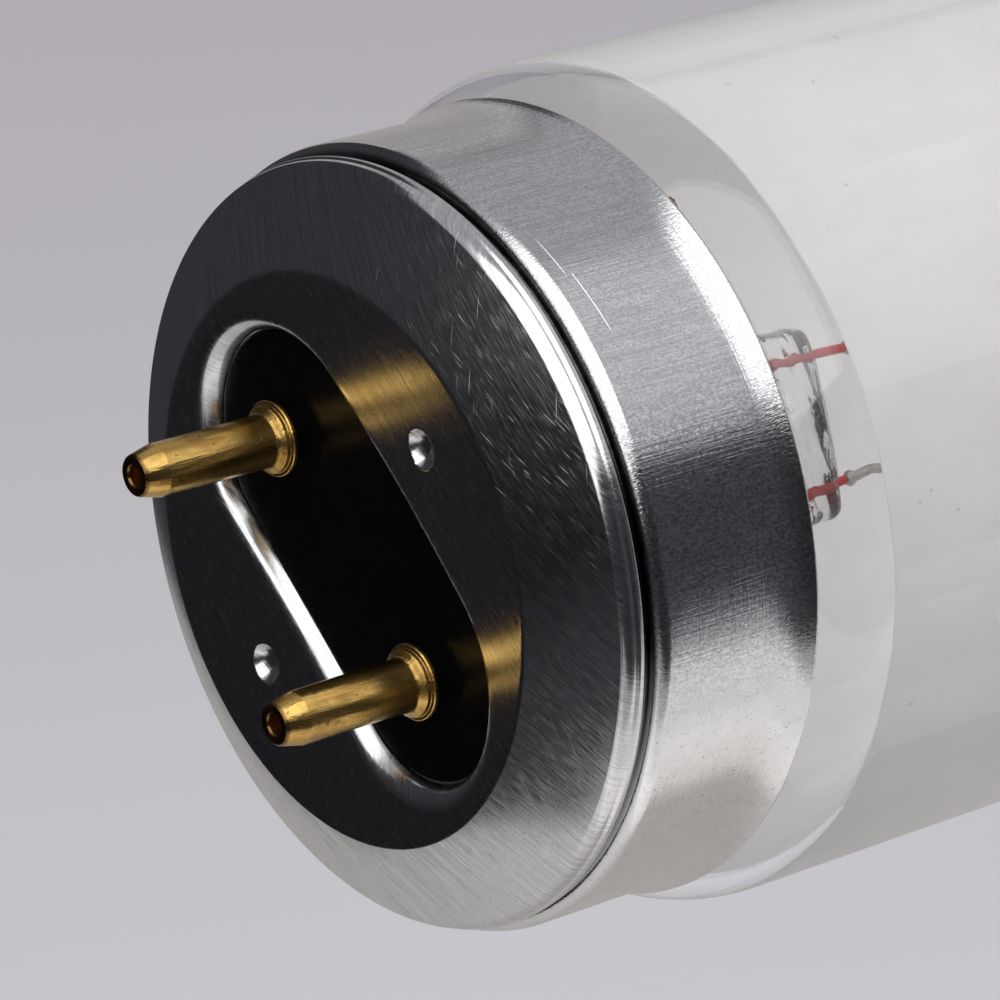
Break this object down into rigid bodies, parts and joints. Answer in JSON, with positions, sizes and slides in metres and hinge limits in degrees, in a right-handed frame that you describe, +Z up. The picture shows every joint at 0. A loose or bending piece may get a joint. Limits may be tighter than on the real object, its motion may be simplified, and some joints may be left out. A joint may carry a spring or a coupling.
{
  "type": "fluorescent tube",
  "caption": "Straight fluorescent tube: white-coated glass with a clear band at each end, brushed aluminium end caps and brass contact pins on oblong black insulators.",
  "frame": {"origin": "middle of the tube, on its axis", "axes": "+X along the tube's axis, +Y along the line through the pins, +Z up with the pins level"},
  "size_m": [0.6038, 0.0378, 0.038],
  "materials": {
    "tube_glass": "clear drawn soda glass, smooth and glossy",
    "phosphor": "matt white powder coat",
    "aluminium": "drawn sheet, finely brushed, scratched by handling",
    "insulator": "black moulded resin, half gloss, a little dust",
    "brass": "tarnished, scratched along the pin",
    "cement": "baked brown resin cement",
    "stem_glass": "clear pressed glass with flow lines",
    "copper": "bare copper wire",
    "sealing_wire": "red oxidised copper-clad wire",
    "nickel": "drawn wire, grey, darkened at the weld",
    "tungsten": "drawn wire under a pale emitter coat"
  },
  "bodies": {
    "root": {"glass_tube": "tube_glass", "phosphor_coating": "phosphor", "end_cap_a": "aluminium", "insulator_a": "insulator", "capping_cement_a": "cement", "stem_glass_a": "stem_glass", "cathode_coil_a": "tungsten", "contact_pin_a1": "brass", "outer_lead_a1": "copper", "seal_lead_a1": "sealing_wire", "inner_lead_a1": "nickel", "contact_pin_a2": "brass", "outer_lead_a2": "copper", "seal_lead_a2": "sealing_wire", "inner_lead_a2": "nickel", "end_cap_b": "aluminium", "insulator_b": "insulator", "capping_cement_b": "cement", "stem_glass_b": "stem_glass", "cathode_coil_b": "tungsten", "contact_pin_b1": "brass", "outer_lead_b1": "copper", "seal_lead_b1": "sealing_wire", "inner_lead_b1": "nickel", "contact_pin_b2": "brass", "outer_lead_b2": "copper", "seal_lead_b2": "sealing_wire", "inner_lead_b2": "nickel"}
  },
  "joints": []
}
